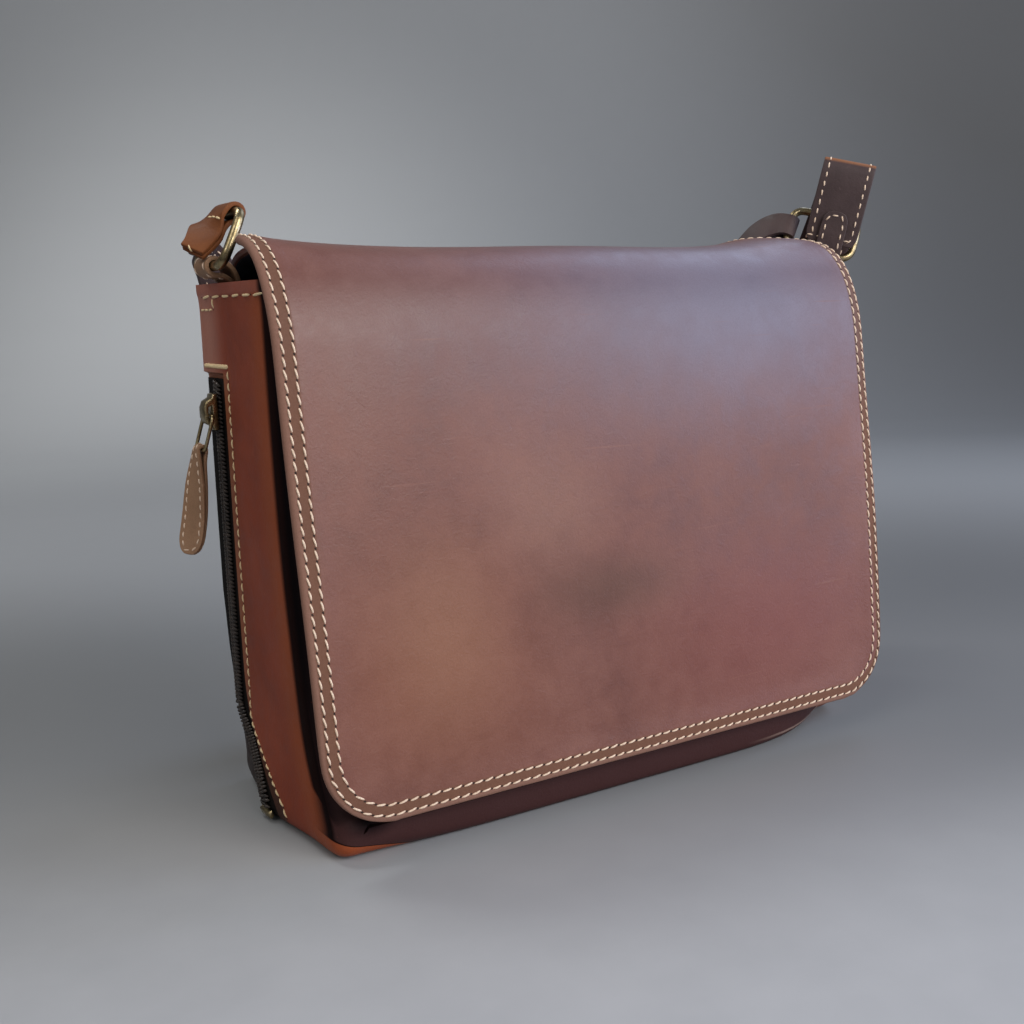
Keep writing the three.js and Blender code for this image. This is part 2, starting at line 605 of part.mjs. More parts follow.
// The strap stands up from the right ring, folds over and hangs in a plain loop behind the back
// to the left ring, whose rear bar its narrow end goes round.
function buildStrap() {
  const wide = (p, width) => [p.x, p.y, p.z, STRAP_ACROSS.x, STRAP_ACROSS.y, STRAP_ACROSS.z, width, 0];
  const loop = (y, out, width) => [
    LEFT_RING.x + LEFT_RISE.z * out, y, LEFT_RING.z - LEFT_RISE.x * out,
    LEFT_RISE.x, 0, LEFT_RISE.z, width, 0,
  ];
  const table = [
    wide(beside(6, -1), 22),
    wide(beside(10, -1), 26),
    wide(beside(26, -1), 26),
    wide(beside(41, -0.6), 26),
    wide(beside(46, 1.4), 26),
    wide(beside(46.6, 5), 26),
    wide(beside(43, 8.6), 26),
    wide(beside(33, 13), 26),
    [187, 14, 236, 0.6, -0.76, -0.2, 26, 0],
    [184, 26, 210, 0.45, -0.83, -0.3, 26, 0],
    [177, 41, 180, 0.3, -0.87, -0.4, 26, 0],
    [166, 56, 145, 0.15, -0.9, -0.35, 26, 0],
    [148, 72, 105, 0, -0.97, -0.2, 26, 0],
    [122, 78, 62, 0, -1, 0, 26, 0],
    [90, 78, 24, 0, -1, 0, 26, 0],
    [50, 78, 4.5, 0, -1, 0, 26, 0],
    [0, 78, 1.8, 0, -1, 0, 26, 0],
    [-50, 78, 4.5, 0, -1, 0, 26, 0],
    [-86, 78, 26, 0, -1, 0, 26, 0],
    [-105, 78, 66, 0.1, -1, 0, 26, 0],
    [-112, 77.5, 110, 0.35, -0.94, 0, 26, 0],
    [-115, 76, 150, 0.7, -0.71, 0, 26, 0],
    [-117, 73.5, 187, 0.95, -0.3, 0, 26, 0],
    [-122, 71.5, 210, 1, -0.1, 0, 22, 0],
    [-130, 68.5, 226, 0.9, 0, 0.4, 16, 0],
    loop(60, 2, 13),
    loop(54, 2.2, 13),
    loop(50, 3.2, 13),
    loop(47, 3.8, 13),
    loop(44.3, 2.7, 13),
    loop(43.2, 0, 13),
    loop(44.3, -2.7, 13),
    loop(47, -3.8, 13),
    loop(50.5, -2.9, 13),
    loop(54.5, -1.6, 12),
    loop(58, -1.4, 7),
  ];
  addStrip('shoulder_strap', stationsFrom(table, 90), STRAP_THICKNESS, BROWN);
  const round = WIRE_RADIUS + GAP + TAB_THICKNESS / 2;
  const sandwich = STRAP_THICKNESS / 2 + GAP + TAB_THICKNESS / 2 + 0.05;
  const fold = (up, back, width, spread) => [...wide(beside(up, back), width).slice(0, 7), spread];
  const tongue = [
    fold(0, 0, 13, round),
    fold(4, -0.6, 13, round - 0.2),
    fold(8, -1, 13, sandwich),
    fold(14, -1, 13, sandwich),
    fold(18.5, -1, 12.4, sandwich),
    fold(21.2, -1, 9.5, sandwich),
    fold(22.5, -1, 4.5, sandwich),
  ];
  addFolded('strap_tongue_right', tongue, 18, TAB_THICKNESS, BROWN);
}

buildGusset();
buildPanel('front_panel', (x, z) => frontY(x + 3, z) + LEATHER + GAP, -1, FRONT_SHAPE);
buildPanel('back_panel', (x, z) => rearY(z) - LEATHER - GAP, 1, BACK_SHAPE);
buildFlap();
buildZip();
buildSlider();
buildRings();
buildStrap();

export default group;
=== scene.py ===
"""Looks of the leather organizer bag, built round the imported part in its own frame, in metres."""

import math
import random

import bmesh
import bpy
from mathutils import Matrix, Vector
from mathutils.bvhtree import BVHTree


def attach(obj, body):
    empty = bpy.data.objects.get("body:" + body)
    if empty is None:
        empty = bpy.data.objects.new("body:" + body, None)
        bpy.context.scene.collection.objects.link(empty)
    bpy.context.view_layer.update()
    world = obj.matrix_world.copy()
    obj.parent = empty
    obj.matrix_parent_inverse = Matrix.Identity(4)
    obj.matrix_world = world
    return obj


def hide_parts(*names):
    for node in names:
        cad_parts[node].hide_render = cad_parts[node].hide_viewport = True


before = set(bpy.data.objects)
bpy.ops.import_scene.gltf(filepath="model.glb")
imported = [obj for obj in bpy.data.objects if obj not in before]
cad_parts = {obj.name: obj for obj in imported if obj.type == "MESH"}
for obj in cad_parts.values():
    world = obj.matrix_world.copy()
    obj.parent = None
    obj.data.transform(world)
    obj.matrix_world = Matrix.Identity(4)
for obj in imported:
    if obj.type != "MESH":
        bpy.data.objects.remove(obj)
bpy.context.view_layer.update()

MM = 0.001
ROOT = "root"
scene = bpy.context.scene

# Sizes of the part that seams and shades follow, in millimetres
HALF_WIDTH = 141
FRONT_BASE_Y = -62.5
FRONT_FLARE = 33.5
FRONT_FLARE_Z = 50
BASE_BAND_Z = 14
HEM_STITCH_Z = 210.2
HEM_STITCH_Y = range(-24, 53, 2)
BOX_SIDE_Y = 34.5
BOX_SIDE_Z = range(210, 204, -1)
BOX_FOOT_Y = range(36, 51)
BOX_FOOT_Z = 205
ZIP_TOP_Z = 178.5
ZIP_BAR_RISE = 3.6
ZIP_BAR_REAR_Y = 50
ZIP_ROW_Y = 22
ZIP_ROW_Z = range(181, 3, -2)
ZIP_SWEEP = 41
FOOT_Z = (6, 38)
TEETH_Y = 37
CUT_EDGE_X = 133
CUT_EDGE_Z = 8
LIP_CORNER_X = 139.5
LIP_END_X = 104
FLAP_HALF_WIDTH = 147
FLAP_NARROWING = 1
FLAP_RIGHT_SQUEEZE = 3
FLAP_TOP_HALF_WIDTH = 131.5
FLAP_REAR_HALF_WIDTH = 126
FLAP_RADIUS = 27
FLAP_LOW_Z = 16.5
FLAP_HEM_WIDTH = 7.6

# Stretches along the flap, from its front edge, over which its width changes
FLAP_WIDENING = (0, 120)
FLAP_SQUEEZED = (0, 150)
FLAP_TOP_TURN = (236, 262)
FLAP_REAR_TURN = (286, 304)

# The flap's outer face in side view, from its front edge over the top: [y, z]
FLAP_SIDE = [
    [-70, 16.5], [-68.6, 28], [-64.4, 65], [-58.6, 115], [-53.1, 163], [-49.6, 193], [-45.6, 207.5],
    [-38.8, 219], [-29, 226.3], [-16, 229.3], [0, 230], [18, 229], [36, 226], [48.6, 220.8], [56.8, 212],
    [60.4, 201.5], [60.9, 188], [60.7, 168],
]

# Kinds of stitch: pitch, then length, width and height
ROW_STITCH = (4.6, (4.2, 0.85, 0.8))
BAR_STITCH = (2.6, (2.7, 1.8, 1.3))
HEM_STITCH = (12.0, (9.4, 1.1, 1.0))
BOX_STITCH = (5.0, (4.6, 0.9, 0.8))
EDGE_STITCH = (4.6, (3.2, 0.8, 0.7))
PULL_STITCH = (3.6, (2.6, 0.7, 0.6))
TONGUE_STITCH = (4.2, (3.6, 0.9, 0.7))

# Rows of stitches on the flap, in from its edge and from its rear end
FLAP_ROWS = [2.8, 6.8]
FLAP_REAR_ROWS = [4, 8.5]
FLAP_REAR_X = range(-120, 121, 4)

# How far from a guessed place a surface is looked for, in metres
FLAP_REACH = 0.03
SIDE_REACH = 0.012
TONGUE_REACH = 0.01
EDGE_REACH = 0.004

# The middle of the bag, which its lining faces
INSIDE = Vector((0, 0, 0.1))


def smooth(low, high, value):
    t = min(1.0, max(0.0, (value - low) / (high - low)))
    return t * t * (3 - 2 * t)


def mix(a, b, t):
    return a + (b - a) * t


def sweep(z):
    """How far the zip runs forward at a height above the base."""
    return -ZIP_SWEEP * (1 - smooth(*FOOT_Z, z))


class Nodes:
    """Short ways to add and join the shader nodes of one material."""

    def __init__(self, name):
        self.material = bpy.data.materials.new(name)
        self.material.use_nodes = True
        self.tree = self.material.node_tree
        self.shader = self.tree.nodes["Principled BSDF"]
        self.place = self.add("ShaderNodeTexCoord").outputs["Object"]

    def feed(self, socket, value):
        if isinstance(value, bpy.types.NodeSocket):
            self.tree.links.new(value, socket)
        else:
            socket.default_value = value

    def look(self, **values):
        """Sets the shader's sockets, named with underscores for spaces."""
        for name, value in values.items():
            self.feed(self.shader.inputs[name.replace("_", " ")], value)

    def add(self, kind, inputs=None, **settings):
        node = self.tree.nodes.new(kind)
        for key, value in settings.items():
            setattr(node, key, value)
        for key, value in (inputs or {}).items():
            self.feed(node.inputs[key], value)
        return node

    def noise(self, scale, detail=3.0, roughness=0.55, distortion=0.0, place=None):
        inputs = {
            "Vector": place or self.place,
            "Scale": scale,
            "Detail": detail,
            "Roughness": roughness,
            "Distortion": distortion,
        }
        return self.add("ShaderNodeTexNoise", inputs).outputs["Fac"]

    def cells(self, scale, place):
        inputs = {"Vector": place, "Scale": scale}
        return self.add("ShaderNodeTexVoronoi", inputs).outputs["Distance"]

    def ramp(self, value, positions, colours):
        node = self.add("ShaderNodeValToRGB", {"Fac": value})
        elements = node.color_ramp.elements
        while len(elements) < len(positions):
            elements.new(0.5)
        for element, position, colour in zip(elements, positions, colours):
            element.position = position
            element.color = (*colour, 1)
        return node.outputs["Color"]

    def math(self, operation, a, b=0.0, c=0.0):
        return self.add("ShaderNodeMath", {0: a, 1: b, 2: c}, operation=operation).outputs[0]

    def vector(self, operation, a, b=(0.0, 0.0, 0.0)):
        return self.add("ShaderNodeVectorMath", {0: a, 1: b}, operation=operation)

    def times(self, first, *factors):
        product = first
        for factor in factors:
            product = self.math("MULTIPLY", product, factor)
        return product

    def rest(self, share):
        return self.math("SUBTRACT", 1.0, share)

    def spread(self, value, low, high, to_low, to_high):
        inputs = {
            "Value": value,
            "From Min": low,
            "From Max": high,
            "To Min": to_low,
            "To Max": to_high,
        }
        node = self.add("ShaderNodeMapRange", inputs, interpolation_type="SMOOTHSTEP")
        return node.outputs["Result"]

    def rise(self, value, start, end):
        """Nothing at the start, one at the end."""
        return self.spread(value, start, end, 0.0, 1.0)

    def fall(self, value, start, end):
        """One at the start, nothing at the end."""
        return self.spread(value, start, end, 1.0, 0.0)

    def blend(self, amount, a, b, mode="MIX"):
        node = self.add("ShaderNodeMix", data_type="RGBA", blend_type=mode)
        colours = [s for s in node.inputs if s.type == "RGBA"]
        self.feed(node.inputs[0], amount)
        self.feed(colours[0], a)
        self.feed(colours[1], (*b, 1))
        return next(s for s in node.outputs if s.type == "RGBA")

    def tint(self, colour, mask, shade, amount):
        return self.blend(self.times(mask, amount), colour, shade)

    def near(self, centre, reach):
        """One at a point, in millimetres, falling to nothing at the reach in x, y and z."""
        moved = self.vector("ADD", self.place, tuple(-c * MM for c in centre)).outputs[0]
        scaled = self.vector("MULTIPLY", moved, tuple(1 / (r * MM) for r in reach)).outputs[0]
        return self.fall(self.vector("LENGTH", scaled).outputs["Value"], 0.0, 1.0)

    def cloud_tints(self, colour, tints):
        for centre, reach, shade, amount in tints:
            colour = self.tint(colour, self.near(centre, reach), shade, amount)
        return colour

    def axis(self, name):
        """A coordinate of the part in millimetres."""
        return self.math("DIVIDE", self.add("ShaderNodeSeparateXYZ", {0: self.place}).outputs[name], MM)

    def bump(self, height, strength, distance, normal=None):
        inputs = {"Height": height, "Strength": strength, "Distance": distance * MM}
        if normal is not None:
            inputs["Normal"] = normal
        return self.add("ShaderNodeBump", inputs).outputs["Normal"]


# Leather's grain: how fine its clouds, patches, pores, pebbles, creases and scratches are
CLOUD_SCALE = 13
PATCH_SCALE = 85
PORE_SCALE = 1900
PEBBLE_SCALE = 900
WANDER_SCALE = 240
WANDER = (0.002, 0.002, 0.002)
CREASE_SCALE = 210
SCRATCH_TURN = (0.4, 0.7, 0.3)
SCRATCH_STRETCH = (14.0, 420.0, 420.0)
SCRATCH_LEVEL = (0.73, 0.79)
TONE_STOPS = (0.34, 0.5, 0.68)
PORE_SHADE = (0.92, 0.9, 0.9)


def leather(name, shades, roughness=0.5, grain=0.35, coat=0.0, paint=None, shine=0.36):
    """Waxed leather: clouded colour, pebbled grain, fine creases and a few scratches."""
    n = Nodes(name)
    light = shades[-1]
    cloud = n.noise(CLOUD_SCALE, 4, 0.6, 0.4)
    patch = n.noise(PATCH_SCALE, 5, 0.65, 0.3)
    pores = n.noise(PORE_SCALE, 2, 0.6)
    tone = n.math("ADD", n.times(cloud, 0.6), n.times(patch, 0.4))
    colour = n.ramp(tone, TONE_STOPS, shades)
    matte = 0.0
    if paint:
        colour, matte = paint(n, colour)
    colour = n.blend(n.rise(pores, 0.42, 0.62), colour, PORE_SHADE, "MULTIPLY")
    stretch = {"Vector": n.place, "Rotation": SCRATCH_TURN, "Scale": SCRATCH_STRETCH}
    long_way = n.add("ShaderNodeMapping", stretch).outputs["Vector"]
    scratch = n.rise(n.noise(1.0, 1, 0.4, 0.0, long_way), *SCRATCH_LEVEL)
    colour = n.tint(colour, n.times(scratch, n.rest(matte)), light, 0.55)
    bend = n.add("ShaderNodeTexNoise", {"Vector": n.place, "Scale": WANDER_SCALE}).outputs["Color"]
    inputs = {0: bend, 1: WANDER, 2: n.place}
    wandering = n.add("ShaderNodeVectorMath", inputs, operation="MULTIPLY_ADD").outputs[0]
    normal = n.bump(n.cells(PEBBLE_SCALE, wandering), grain * 0.4, 0.2)
    normal = n.bump(pores, grain * 0.6, 0.12, normal)
    normal = n.bump(n.noise(CREASE_SCALE, 6, 0.7, 1.2), grain * 0.6, 0.6, normal)
    worn = n.spread(patch, 0.3, 0.7, roughness - 0.07, roughness + 0.09)
    n.look(
        Base_Color=colour,
        Roughness=n.math("ADD", worn, n.times(matte, 0.14)),
        Normal=normal,
        Coat_Weight=n.times(n.rest(matte), coat),
        Coat_Roughness=0.42,
        Specular_IOR_Level=n.math("MULTIPLY_ADD", matte, -0.8 * shine, shine),
    )
    return n.material


# Shades are linear colours, dark to light
FLAP_SHADES = [(0.14, 0.051, 0.037), (0.18, 0.068, 0.048), (0.22, 0.09, 0.064)]
GUSSET_SHADES = [(0.21, 0.043, 0.022), (0.275, 0.06, 0.03), (0.34, 0.08, 0.042)]
PANEL_SHADES = [(0.05, 0.019, 0.018), (0.072, 0.028, 0.025), (0.1, 0.039, 0.033)]
STRAP_SHADES = [(0.045, 0.028, 0.029), (0.062, 0.039, 0.04), (0.09, 0.058, 0.057)]
TAB_SHADES = [(0.25, 0.14, 0.078), (0.33, 0.19, 0.108), (0.42, 0.25, 0.15)]
TAN_SHADES = [(0.15, 0.048, 0.016), (0.21, 0.072, 0.024), (0.27, 0.1, 0.036)]
LINING_SHADES = [(0.04, 0.05, 0.078), (0.06, 0.075, 0.112), (0.08, 0.1, 0.148)]
BRASS_SHADES = [(0.1, 0.075, 0.04), (0.36, 0.28, 0.15), (0.62, 0.52, 0.33)]
CREAM_SHADES = [(0.66, 0.47, 0.33), (0.92, 0.74, 0.58)]
GOLD_SHADES = [(0.78, 0.55, 0.28), (0.97, 0.8, 0.5)]
TAPE_SHADES = [(0.003, 0.002, 0.002), (0.014, 0.010, 0.008)]
COIL_SHADES = [(0.012, 0.009, 0.008), (0.066, 0.047, 0.037)]
HOLE_SHADES = [(0.008, 0.004, 0.003), (0.03, 0.016, 0.012)]
PAPER_SHADES = [(0.42, 0.43, 0.45), (0.45, 0.46, 0.48)]
TWO_STOPS = (0.3, 0.7)
TAPE_STRETCH = (1.0, 1400.0, 1400.0)


def antique_brass():
    n = Nodes("antique_brass")
    wear = n.noise(260, 5, 0.65, 0.5)
    n.look(
        Base_Color=n.ramp(wear, (0.3, 0.5, 0.7), BRASS_SHADES),
        Metallic=1.0,
        Roughness=n.spread(wear, 0.3, 0.7, 0.42, 0.24),
        Normal=n.bump(n.noise(900, 4), 0.12, 0.2),
    )
    return n.material


def thread(name, shades):
    n = Nodes(name)
    twist = n.noise(1500, 3, 0.6)
    n.look(Base_Color=n.ramp(twist, TWO_STOPS, shades), Roughness=0.7, Normal=n.bump(twist, 0.3, 0.2))
    return n.material


def woven_tape():
    n = Nodes("zip_tape_weave")
    stretched = n.vector("MULTIPLY", n.place, TAPE_STRETCH).outputs[0]
    weave = n.add("ShaderNodeTexChecker", {"Vector": stretched, "Scale": 1.0}).outputs["Fac"]
    shade = n.math("ADD", n.times(weave, 0.3), n.times(n.noise(900, 3), 0.6))
    n.look(
        Base_Color=n.ramp(shade, (0.2, 0.8), TAPE_SHADES),
        Roughness=0.85,
        Specular_IOR_Level=0.15,
        Normal=n.bump(weave, 0.4, 0.15),
    )
    return n.material


def coil_material():
    n = Nodes("zip_coil_nylon")
    n.look(Base_Color=n.ramp(n.noise(500, 3), TWO_STOPS, COIL_SHADES), Roughness=0.42)
    return n.material


def dark_hole():
    n = Nodes("needle_hole")
    n.look(Base_Color=n.ramp(n.noise(800, 2), TWO_STOPS, HOLE_SHADES), Roughness=0.9)
    return n.material


# Broad tints of the flap: centre, reach, colour, amount. Colour clouds, painted sheen at the top, a painted
# reflection in the middle and painted shade in a dent
FLAP_CLOUDS_AND_PAINTED_LIGHT = [
    # Painted sheen at the top right and at the top left
    ((64, -45, 208), (198, 70, 87), (0.155, 0.146, 0.2), 0.88),
    ((-100, -45, 205), (90, 60, 55), (0.16, 0.095, 0.092), 0.5),
    # Colour clouds at the lower left and lower right
    ((-95, -64, 70), (75, 60, 75), (0.24, 0.085, 0.042), 0.6),
    ((75, -66, 60), (110, 60, 65), (0.2, 0.055, 0.045), 0.6),
    # Painted reflection in the middle
    ((-42, -60, 122), (45, 60, 40), (0.28, 0.14, 0.1), 0.5),
    # A colour cloud at the lower left
    ((-92, -62, 82), (40, 40, 58), (0.31, 0.155, 0.09), 0.35),
    # Painted shade in a dent
    ((-14, -64, 89), (54, 60, 20), (0.105, 0.046, 0.028), 0.6),
]
FLAP_BAND = (0.17, 0.092, 0.06)
# Painted highlight on the flap's rolled rim, outside its first row of stitches
FLAP_RIM_HIGHLIGHT = (0.3, 0.165, 0.125)


def flap_paint(n, colour):
    """Colour clouds over the flap with painted sheen, a painted reflection and painted shade in a dent, a
    paler matte band along its edge and a painted highlight on its rolled rim.
    """
    colour = n.cloud_tints(colour, FLAP_CLOUDS_AND_PAINTED_LIGHT)
    beyond = n.math("SUBTRACT", n.math("ABSOLUTE", n.axis("X")), FLAP_HALF_WIDTH - FLAP_RADIUS)
    below = n.math("SUBTRACT", FLAP_LOW_Z + FLAP_RADIUS, n.axis("Z"))
    across = n.math("MAXIMUM", beyond, 0.0)
    down = n.math("MAXIMUM", below, 0.0)
    reach = n.add("ShaderNodeCombineXYZ", {0: across, 1: down}).outputs[0]
    out = n.vector("LENGTH", reach).outputs["Value"]
    hem_at = FLAP_RADIUS - FLAP_HEM_WIDTH
    row_at = FLAP_RADIUS - FLAP_ROWS[0]
    band = n.rise(out, hem_at - 0.6, hem_at + 0.6)
    # Mask of the painted highlight on the rolled rim
    rim = n.rise(out, row_at - 0.5, row_at + 0.7)
    colour = n.tint(colour, band, FLAP_BAND, 0.7)
    return n.tint(colour, rim, FLAP_RIM_HIGHLIGHT, 0.7), band


# Tones of the gusset: painted sheen toward the rear, a painted highlight along the rounded front edge and
# painted shade in the fold
# Painted sheen toward the gusset's rear
GUSSET_REAR_SHEEN = (0.5, 0.24, 0.18)
# Painted highlight along the gusset's rounded front edge
GUSSET_FRONT_HIGHLIGHT = (0.37, 0.09, 0.022)
GUSSET_HEM = (0.36, 0.12, 0.085)
GUSSET_ZIP_EDGE = (0.3, 0.105, 0.045)
FRONT_DARK = (0.05, 0.019, 0.018)
# Painted shade in the fold behind the gusset's front edge, along the lip's crease and in the corner under
# the flap
PAINTED_FOLD_SHADE = (0.004, 0.003, 0.004)
FOLD_SHADE_AMOUNT = 0.97
PIPING = (0.3, 0.21, 0.17)
ZIP_SHADOW = (0.024, 0.013, 0.010)

# Where those tones start and end, in millimetres
REAR_SHEEN_Y = (22.0, 44.0)
FRONT_HIGHLIGHT_REACH = (22.0, 4.0)
LEFT_SIDE_X = (-112, -118)
FOLD_Z = (30, 85)
FOLD_WIDTHS = (11.5, 8.0)
ZIP_DARK_Z = (14, 58)
ZIP_BEHIND_Z = (50, 75)
ZIP_BEHIND_X = (-134, -138)
LIP_Z = (-1.0, 10.0)
LIP_BLEND = (-0.8, 0.8)
LIP_CREASE = (0.2, 1.2)
TURNED_EDGE_Y = (-5, -10)
PIPING_Z = 3.6
PIPING_X = (60, 95)
PIPING_BLEND = (0.2, 0.9)
FOLD_BLEND = (0.0, 4.5)
FOLD_INNER = (-11.0, -4.0)
FOLD_INNER_SHARE = 0.55
FOLD_FOOT_REACH = (-9.0, 2.0)
FOLD_FOOT_Z = (15.0, 24.0)
FOLD_FOOT_BLEND = (-2.5, 2.5)
# Place and reach of the painted shade in the corner under the flap
CORNER_SHADE_PLACE = (-126, -61, 15)
CORNER_SHADE_REACH = (15, 22, 8.5)


def behind_fold(n):
    """Millimetres behind the fold at the gusset's front edge, which leans back with height."""
    above = n.math("MAXIMUM", n.math("SUBTRACT", n.axis("Z"), BASE_BAND_Z), 0.0)
    flare = n.math("POWER", math.exp(-1 / FRONT_FLARE_Z), above)
    front_y = n.math("MULTIPLY_ADD", flare, -FRONT_FLARE, FRONT_BASE_Y + FRONT_FLARE)
    from_front = n.math("SUBTRACT", n.axis("Y"), front_y)
    return n.math("SUBTRACT", from_front, n.spread(n.axis("Z"), *FOLD_Z, *FOLD_WIDTHS))


def side_tones(n, colour, from_fold):
    """A grey painted sheen toward the rear, an orange painted highlight along the front edge, paler above
    the hem's stitches.
    """
    colour = n.tint(colour, n.rise(n.axis("Y"), *REAR_SHEEN_Y), GUSSET_REAR_SHEEN, 0.7)
    colour = n.tint(colour, n.rise(from_fold, *FRONT_HIGHLIGHT_REACH), GUSSET_FRONT_HIGHLIGHT, 0.5)
    return n.tint(colour, n.rise(n.axis("Z"), HEM_STITCH_Z, HEM_STITCH_Z + 1.5), GUSSET_HEM, 0.6)


def zip_tones(n, colour, on_left):
    """A tan strip beside the zip, with painted shadow at its lower end and behind the teeth there."""
    z = n.axis("Z")
    from_row = n.math("ADD", n.axis("Y"), n.times(n.fall(z, *FOOT_Z), ZIP_SWEEP))
    strip = n.times(n.rise(from_row, ZIP_ROW_Y, ZIP_ROW_Y + 1.5), on_left)
    colour = n.tint(colour, n.times(strip, n.fall(z, ZIP_TOP_Z, ZIP_TOP_Z + 2)), GUSSET_ZIP_EDGE, 0.7)
    colour = n.tint(colour, n.times(strip, n.fall(z, *ZIP_DARK_Z)), ZIP_SHADOW, 0.85)
    behind = n.times(n.rise(from_row, TEETH_Y, TEETH_Y + 4), n.fall(z, *ZIP_BEHIND_Z))
    return n.tint(colour, n.times(behind, n.rise(n.axis("X"), *ZIP_BEHIND_X)), ZIP_SHADOW, 0.95)


def gusset_paint(n, colour):
    """The gusset's tones with their painted sheen and highlight, painted shade where it turns in to the
    front panel and in the corner under the flap, and a piping line at the right.
    """
    side = n.axis("X")
    z = n.axis("Z")
    on_left = n.rise(side, *LEFT_SIDE_X)
    from_fold = behind_fold(n)
    colour = side_tones(n, colour, from_fold)
    colour = zip_tones(n, colour, on_left)
    lip_edge = n.spread(z, *LIP_Z, LIP_END_X, LIP_CORNER_X)
    from_lip = n.math("SUBTRACT", n.math("ABSOLUTE", side), lip_edge)
    in_front = n.rise(n.axis("Y"), *TURNED_EDGE_Y)
    colour = n.tint(colour, n.times(n.fall(from_lip, *LIP_BLEND), in_front), FRONT_DARK, 1.0)
    line = n.fall(n.math("ABSOLUTE", n.math("SUBTRACT", z, PIPING_Z)), *PIPING_BLEND)
    colour = n.tint(colour, n.times(line, in_front, n.rise(side, *PIPING_X)), PIPING, 0.7)
    # Painted shade along the lip's crease, in the fold and in the corner under the flap
    crease = n.times(n.fall(n.math("ABSOLUTE", from_lip), *LIP_CREASE), in_front)
    above_foot = n.math("SUBTRACT", z, n.spread(from_fold, *FOLD_FOOT_REACH, *FOLD_FOOT_Z))
    fold = n.times(n.fall(from_fold, *FOLD_BLEND), n.rise(above_foot, *FOLD_FOOT_BLEND))
    fold = n.times(fold, n.spread(from_fold, *FOLD_INNER, FOLD_INNER_SHARE, 1.0), on_left)
    painted_shade = n.math("MAXIMUM", crease, fold)
    painted_shade = n.math("MAXIMUM", painted_shade, n.near(CORNER_SHADE_PLACE, CORNER_SHADE_REACH))
    return n.tint(colour, painted_shade, PAINTED_FOLD_SHADE, FOLD_SHADE_AMOUNT), painted_shade


def panel_paint(n, colour):
    """Painted shade in the corner under the flap, where the gusset's turned edge meets the panel."""
    corner = n.near(CORNER_SHADE_PLACE, CORNER_SHADE_REACH)
    return n.tint(colour, corner, PAINTED_FOLD_SHADE, FOLD_SHADE_AMOUNT), corner


# The painted highlight along the strap's fold, tan like its raw edge: colour, height, place across the
# strap and how much it slopes
STRAP_FOLD_HIGHLIGHT = (0.3, 0.13, 0.06)
STRAP_FOLD_Z = 272.4
STRAP_FOLD_ACROSS = 169.8
STRAP_FOLD_SLOPE = 0.17


def strap_paint(n, colour):
    """Tan, with a painted highlight, along the fold at the strap's highest place, which slopes down to the
    right.
    """
    across = n.math("SUBTRACT", n.math("SUBTRACT", n.axis("X"), n.axis("Y")), STRAP_FOLD_ACROSS)
    level = n.math("MULTIPLY_ADD", across, STRAP_FOLD_SLOPE, n.axis("Z"))
    # Mask of the painted highlight along the fold
    worn = n.rise(level, STRAP_FOLD_Z - 1.0, STRAP_FOLD_Z + 0.6)
    return n.tint(colour, worn, STRAP_FOLD_HIGHLIGHT, 0.8), worn


flap_leather = leather("flap_leather_waxed", FLAP_SHADES, 0.42, 0.45, coat=0.12, paint=flap_paint)
gusset_leather = leather("gusset_leather_waxed", GUSSET_SHADES, paint=gusset_paint, shine=0.16)
panel_leather = leather("panel_leather_waxed", PANEL_SHADES, paint=panel_paint, shine=0.2)
lining = leather("lining_dark", LINING_SHADES, 0.75)
strap_leather = leather("strap_leather_matte", STRAP_SHADES, 0.55, 0.45, paint=strap_paint)
tab_leather = leather("tab_leather_matte", TAB_SHADES, 0.6, 0.45)
tan_leather = leather("tan_leather_matte", TAN_SHADES, 0.55, 0.4, shine=0.16)
brass = antique_brass()
cream_thread = thread("cream_thread", CREAM_SHADES)
gold_thread = thread("gold_thread", GOLD_SHADES)
needle_hole = dark_hole()


def link_smooth(name, mesh, material):
    thing = bpy.data.objects.new(name, mesh)
    scene.collection.objects.link(thing)
    mesh.materials.append(material)
    for polygon in mesh.polygons:
        polygon.use_smooth = True
    return thing


def add_object(name, mesh, material):
    thing = link_smooth(name, mesh, material)
    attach(thing, ROOT)
    return thing


# Two corners of a faceted mesh that are nearer than this, in metres, are one
WELD = 4e-6

# Angles in degrees: faces and corners that may pair into a quad, and edges that are rounded
QUAD_FACE_ANGLE = 50
QUAD_SHAPE_ANGLE = 70
BEVEL_ANGLE = 52


def joined(node):
    """The node's mesh with its corners welded."""
    shape = bmesh.new()
    shape.from_mesh(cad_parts[node].data)
    bmesh.ops.remove_doubles(shape, verts=shape.verts, dist=WELD)
    return shape


def paired(node):
    """The node's welded mesh, with its triangles paired into quads as far as they go."""
    shape = joined(node)
    bmesh.ops.join_triangles(
        shape,
        faces=shape.faces,
        angle_face_threshold=math.radians(QUAD_FACE_ANGLE),
        angle_shape_threshold=math.radians(QUAD_SHAPE_ANGLE),
    )
    bmesh.ops.recalc_face_normals(shape, faces=shape.faces)
    return shape


